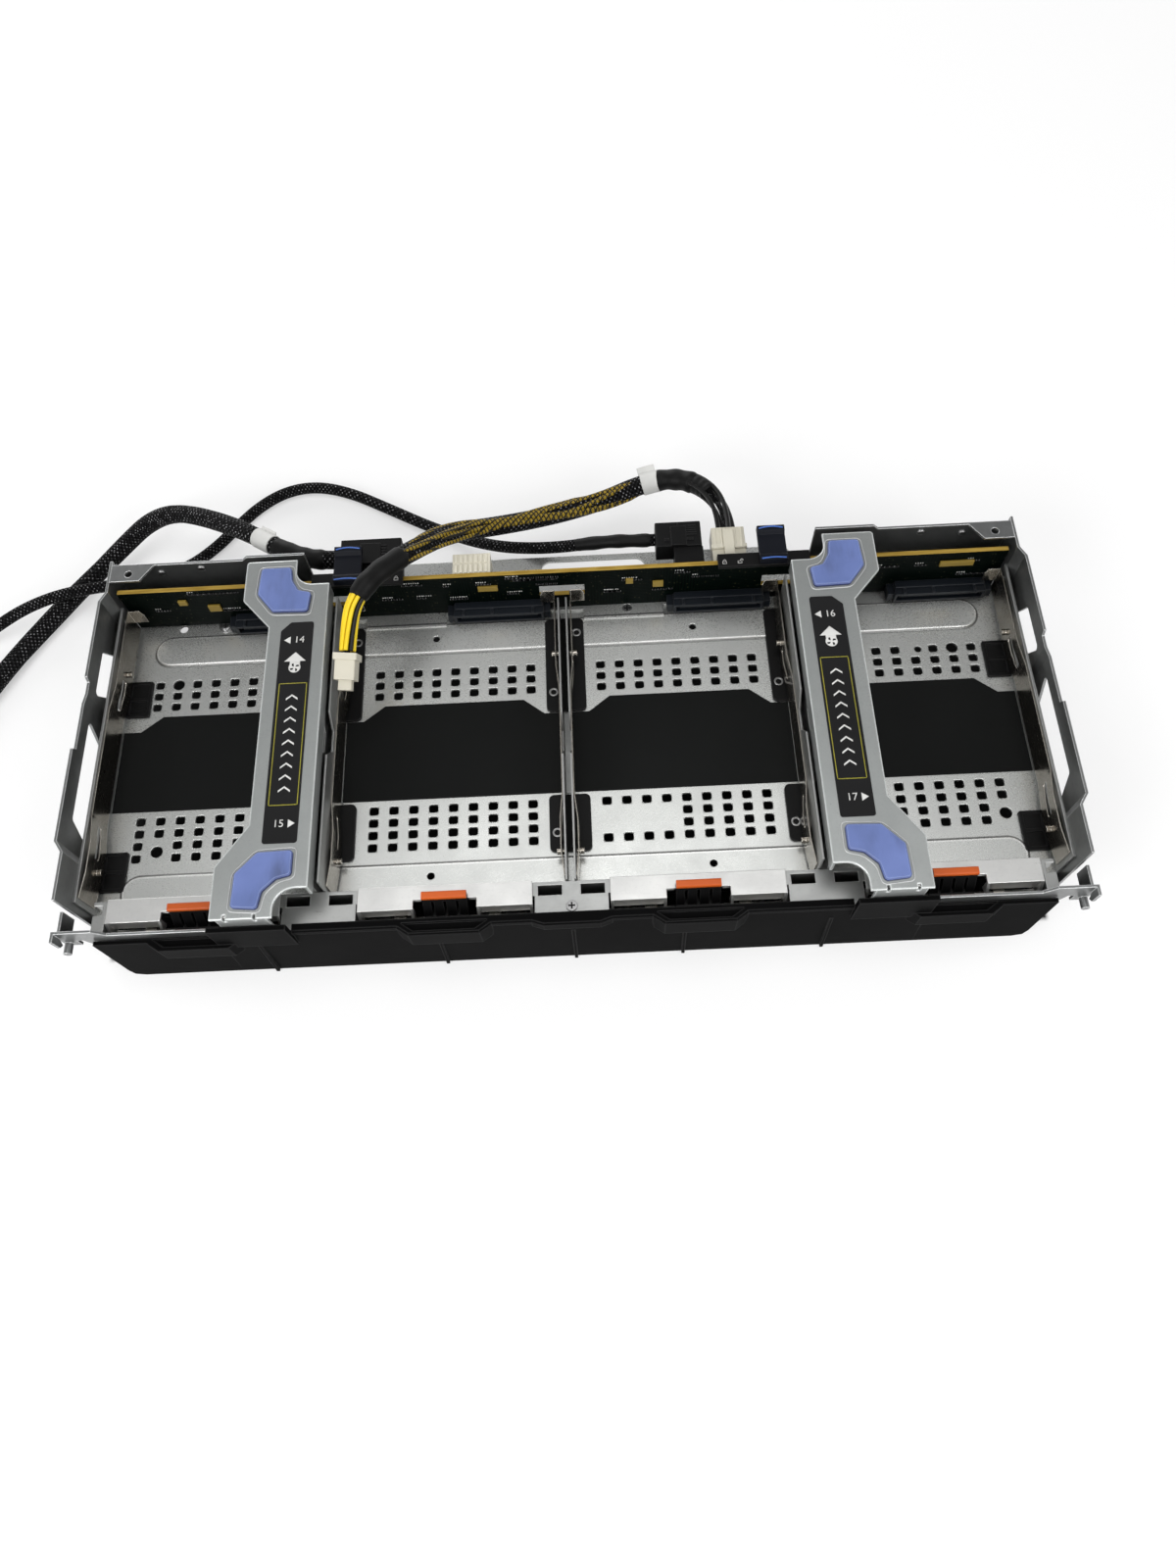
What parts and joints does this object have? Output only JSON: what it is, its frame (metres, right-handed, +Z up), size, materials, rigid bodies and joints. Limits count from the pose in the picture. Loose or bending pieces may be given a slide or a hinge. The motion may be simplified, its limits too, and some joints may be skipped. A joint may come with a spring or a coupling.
{
  "type": "hot swap drive cage",
  "caption": "Wide shallow steel drive cage with open bays, sprung latches, bridge bars, rear backplane board and cables.",
  "frame": {"origin": "bottom centre of the cage without its cables, on the table", "axes": "+X to the right along the row of bays, +Y to the rear where the board is, +Z up"},
  "size_m": [0.5811, 0.2755, 0.0764],
  "materials": {
    "deck_steel": "galvanised sheet, satin",
    "bright_steel": "bright spring steel",
    "dark_steel": "satin",
    "bar_grey": "matt powder coat",
    "pad_blue": "fine grained",
    "label_black": "printed film",
    "base_white": "satin",
    "black_plastic": "fine grained",
    "film_black": "matt film",
    "tab_orange": "semi gloss",
    "board_green": "solder mask",
    "ivory_plastic": "satin",
    "slider_blue": "satin",
    "chip": "satin",
    "screw_zinc": "zinc plated",
    "sleeve": "braided sleeve"
  },
  "bodies": {
    "chassis": {"deck_pan": "deck_steel", "front_rail": "bright_steel", "side_rail_left": "bright_steel", "side_rail_right": "bright_steel", "side_plate_left": "dark_steel", "side_plate_right": "dark_steel", "rear_panel_left": "dark_steel", "rear_panel_right": "dark_steel", "rear_ledge": "deck_steel", "bay_divider_left": "deck_steel", "bay_divider_centre": "deck_steel", "bay_divider_right": "deck_steel", "latch_pins": "bright_steel", "latch_springs": "bright_steel", "guide_plates_rear": "black_plastic", "guide_plates_front": "black_plastic", "guide_blocks": "black_plastic", "insulating_films": "film_black", "bridge_bar_left": "bar_grey", "bridge_bar_right": "bar_grey", "touch_pads": "pad_blue", "label_strips": "label_black", "air_shroud": "black_plastic", "backplane_board": "board_green", "drive_connectors": "black_plastic", "power_headers": "ivory_plastic", "signal_sockets": "black_plastic", "board_components": "chip", "release_bases": "base_white", "corner_bracket_left": "dark_steel", "corner_bracket_right": "dark_steel", "screws": "screw_zinc", "power_lead": "sleeve", "power_plug": "ivory_plastic", "lead_end_plug": "ivory_plastic", "thin_cable": "sleeve", "thin_cable_plug": "black_plastic", "thin_cable_far_plug": "black_plastic", "wide_cable": "sleeve", "wide_cable_plug": "black_plastic", "wide_cable_far_plug": "black_plastic", "drive_springs_1": "bright_steel", "drive_springs_2": "bright_steel", "drive_springs_3": "bright_steel", "drive_springs_4": "bright_steel"},
    "latch_1": {"latch_flap_1": "bright_steel", "latch_lever_1": "black_plastic", "release_tab_1": "tab_orange"},
    "latch_2": {"latch_flap_2": "bright_steel", "latch_lever_2": "black_plastic", "release_tab_2": "tab_orange"},
    "latch_3": {"latch_flap_3": "bright_steel", "latch_lever_3": "black_plastic", "release_tab_3": "tab_orange"},
    "latch_4": {"latch_flap_4": "bright_steel", "latch_lever_4": "black_plastic", "release_tab_4": "tab_orange"},
    "release_left": {"release_slider_left": "slider_blue"},
    "release_right": {"release_slider_right": "slider_blue"}
  },
  "joints": [
    {"name": "latch_1_hinge", "type": "hinge", "parent": "chassis", "child": "latch_1", "pos_m": [-0.16155, -0.09095, 0.031], "axis": [1, 0, 0], "range_deg": [0, 20], "stiffness_Nm_per_rad": 0.08, "springref_deg": -17.19},
    {"name": "latch_2_hinge", "type": "hinge", "parent": "chassis", "child": "latch_2", "pos_m": [-0.05385, -0.09095, 0.031], "axis": [1, 0, 0], "range_deg": [0, 20], "stiffness_Nm_per_rad": 0.08, "springref_deg": -17.19},
    {"name": "latch_3_hinge", "type": "hinge", "parent": "chassis", "child": "latch_3", "pos_m": [0.05385, -0.09095, 0.031], "axis": [1, 0, 0], "range_deg": [0, 20], "stiffness_Nm_per_rad": 0.08, "springref_deg": -17.19},
    {"name": "latch_4_hinge", "type": "hinge", "parent": "chassis", "child": "latch_4", "pos_m": [0.16155, -0.09095, 0.031], "axis": [1, 0, 0], "range_deg": [0, 20], "stiffness_Nm_per_rad": 0.08, "springref_deg": -17.19},
    {"name": "release_left_slide", "type": "slide", "parent": "chassis", "child": "release_left", "axis": [1, 0, 0], "range_m": [0, 0.008]},
    {"name": "release_right_slide", "type": "slide", "parent": "chassis", "child": "release_right", "axis": [-1, 0, 0], "range_m": [0, 0.008]}
  ]
}
